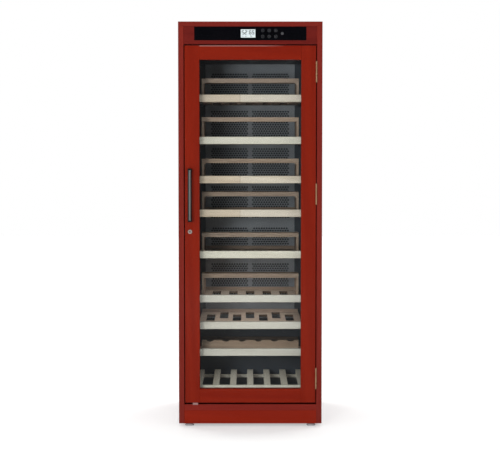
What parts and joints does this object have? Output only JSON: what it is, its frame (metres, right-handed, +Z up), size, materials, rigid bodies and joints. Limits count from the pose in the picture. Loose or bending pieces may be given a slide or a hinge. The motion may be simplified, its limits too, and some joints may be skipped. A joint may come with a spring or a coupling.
{
  "type": "wine cabinet",
  "caption": "Tall freestanding wine cabinet in red-brown wood, with a hinged glazed door, pull-out bottle shelves, a touch control panel and a cooling unit in its base.",
  "frame": {"origin": "on the floor, under the middle of the whole part's bounding box", "axes": "+Z up, the door faces -Y, +X to the right as seen from the front"},
  "size_m": [0.655, 0.698, 1.85],
  "materials": {
    "red_wood": "lacquered, satin",
    "beech": "waxed",
    "brown_wood": "stained",
    "black_glass": "gloss",
    "display": "lit",
    "key_print": "matt",
    "glass": "clear",
    "spacer": "matt",
    "seal": "matt",
    "black_metal": "satin black",
    "strip_metal": "brushed",
    "chrome": "polished",
    "brass": "polished",
    "steel": "plain",
    "pale_plastic": "matt",
    "black_plastic": "matt",
    "liner": "satin",
    "duct_metal": "satin",
    "foam": "closed-cell foam",
    "cover_metal": "satin",
    "fin_metal": "plain",
    "compressor_can": "satin",
    "lamp": "diffusing"
  },
  "bodies": {
    "cabinet": {"side_panel_left": "red_wood", "side_panel_right": "red_wood", "top_board": "red_wood", "kick_plate": "red_wood", "base_rail": "red_wood", "base_board": "red_wood", "fascia_board": "red_wood", "door_rest_block": "pale_plastic", "control_panel": "black_glass", "display_module": "display", "touch_keys": "key_print", "front_frame": "liner", "inner_liner": "liner", "insulation": "foam", "duct_panel": "duct_metal", "led_strip": "lamp", "lock_strike": "steel", "hinge_leaves_cabinet": "brass", "hinge_pins": "brass", "shelf_rails": "liner", "floor_rack": "brown_wood", "fan_frame": "black_plastic", "evaporator": "fin_metal", "compressor": "compressor_can", "condenser": "fin_metal", "back_cover": "cover_metal", "power_inlet": "black_plastic"},
    "door": {"door_stile_left": "red_wood", "door_stile_right": "red_wood", "door_rail_top": "red_wood", "door_rail_bottom": "red_wood", "glass_panes": "glass", "glass_spacer": "spacer", "door_gasket": "seal", "handle_bar": "black_metal", "handle_inlay": "strip_metal", "lock_barrel": "chrome", "hinge_leaves_door": "brass"},
    "lock_plug": {"lock_plug": "chrome"},
    "fan_rotor": {"fan_rotor": "black_plastic"},
    "shelf_1": {"shelf_1_front": "beech", "shelf_1_frame": "brown_wood"},
    "shelf_2": {"shelf_2_front": "beech", "shelf_2_frame": "brown_wood"},
    "shelf_3": {"shelf_3_front": "beech", "shelf_3_frame": "brown_wood"},
    "shelf_4": {"shelf_4_front": "beech", "shelf_4_frame": "brown_wood"},
    "shelf_5": {"shelf_5_front": "beech", "shelf_5_frame": "brown_wood"},
    "shelf_6": {"shelf_6_front": "beech", "shelf_6_frame": "brown_wood"},
    "shelf_7": {"shelf_7_front": "beech", "shelf_7_frame": "brown_wood"},
    "shelf_8": {"shelf_8_front": "beech", "shelf_8_frame": "brown_wood"},
    "foot_front_left": {"foot_front_left": "chrome"},
    "foot_rear_left": {"foot_rear_left": "chrome"},
    "foot_front_right": {"foot_front_right": "chrome"},
    "foot_rear_right": {"foot_rear_right": "chrome"}
  },
  "joints": [
    {"name": "door_hinge", "type": "hinge", "parent": "cabinet", "child": "door", "pos_m": [0.3005, -0.3144, 0.926], "axis": [0, 0, 1], "range_deg": [0, 120]},
    {"name": "lock_turn", "type": "hinge", "parent": "door", "child": "lock_plug", "pos_m": [-0.275, -0.311, 0.8963], "axis": [0, -1, 0], "range_deg": [0, 90]},
    {"name": "fan_spin", "type": "hinge", "parent": "cabinet", "child": "fan_rotor", "pos_m": [0, 0.29, 1.398], "axis": [0, 1, 0], "continuous": true},
    {"name": "shelf_1_slide", "type": "slide", "parent": "cabinet", "child": "shelf_1", "axis": [0, -1, 0], "range_m": [0, 0.3]},
    {"name": "shelf_2_slide", "type": "slide", "parent": "cabinet", "child": "shelf_2", "axis": [0, -1, 0], "range_m": [0, 0.3]},
    {"name": "shelf_3_slide", "type": "slide", "parent": "cabinet", "child": "shelf_3", "axis": [0, -1, 0], "range_m": [0, 0.3]},
    {"name": "shelf_4_slide", "type": "slide", "parent": "cabinet", "child": "shelf_4", "axis": [0, -1, 0], "range_m": [0, 0.3]},
    {"name": "shelf_5_slide", "type": "slide", "parent": "cabinet", "child": "shelf_5", "axis": [0, -1, 0], "range_m": [0, 0.3]},
    {"name": "shelf_6_slide", "type": "slide", "parent": "cabinet", "child": "shelf_6", "axis": [0, -1, 0], "range_m": [0, 0.3]},
    {"name": "shelf_7_slide", "type": "slide", "parent": "cabinet", "child": "shelf_7", "axis": [0, -1, 0], "range_m": [0, 0.3]},
    {"name": "shelf_8_slide", "type": "slide", "parent": "cabinet", "child": "shelf_8", "axis": [0, -1, 0], "range_m": [0, 0.3]},
    {"name": "foot_front_left_turn", "type": "hinge", "parent": "cabinet", "child": "foot_front_left", "pos_m": [-0.28, -0.281, 0.01], "axis": [0, 0, 1], "continuous": true},
    {"name": "foot_rear_left_turn", "type": "hinge", "parent": "cabinet", "child": "foot_rear_left", "pos_m": [-0.28, 0.314, 0.01], "axis": [0, 0, 1], "continuous": true},
    {"name": "foot_front_right_turn", "type": "hinge", "parent": "cabinet", "child": "foot_front_right", "pos_m": [0.28, -0.281, 0.01], "axis": [0, 0, 1], "continuous": true},
    {"name": "foot_rear_right_turn", "type": "hinge", "parent": "cabinet", "child": "foot_rear_right", "pos_m": [0.28, 0.314, 0.01], "axis": [0, 0, 1], "continuous": true}
  ],
  "couplings": [
    {"joint": "shelf_1_slide", "follows": "door_hinge", "m_per_rad": 0.08},
    {"joint": "shelf_2_slide", "follows": "door_hinge", "m_per_rad": 0.08},
    {"joint": "shelf_3_slide", "follows": "door_hinge", "m_per_rad": 0.08},
    {"joint": "shelf_4_slide", "follows": "door_hinge", "m_per_rad": 0.08},
    {"joint": "shelf_5_slide", "follows": "door_hinge", "m_per_rad": 0.08},
    {"joint": "shelf_6_slide", "follows": "door_hinge", "m_per_rad": 0.08},
    {"joint": "shelf_7_slide", "follows": "door_hinge", "m_per_rad": 0.08},
    {"joint": "shelf_8_slide", "follows": "door_hinge", "m_per_rad": 0.08}
  ]
}
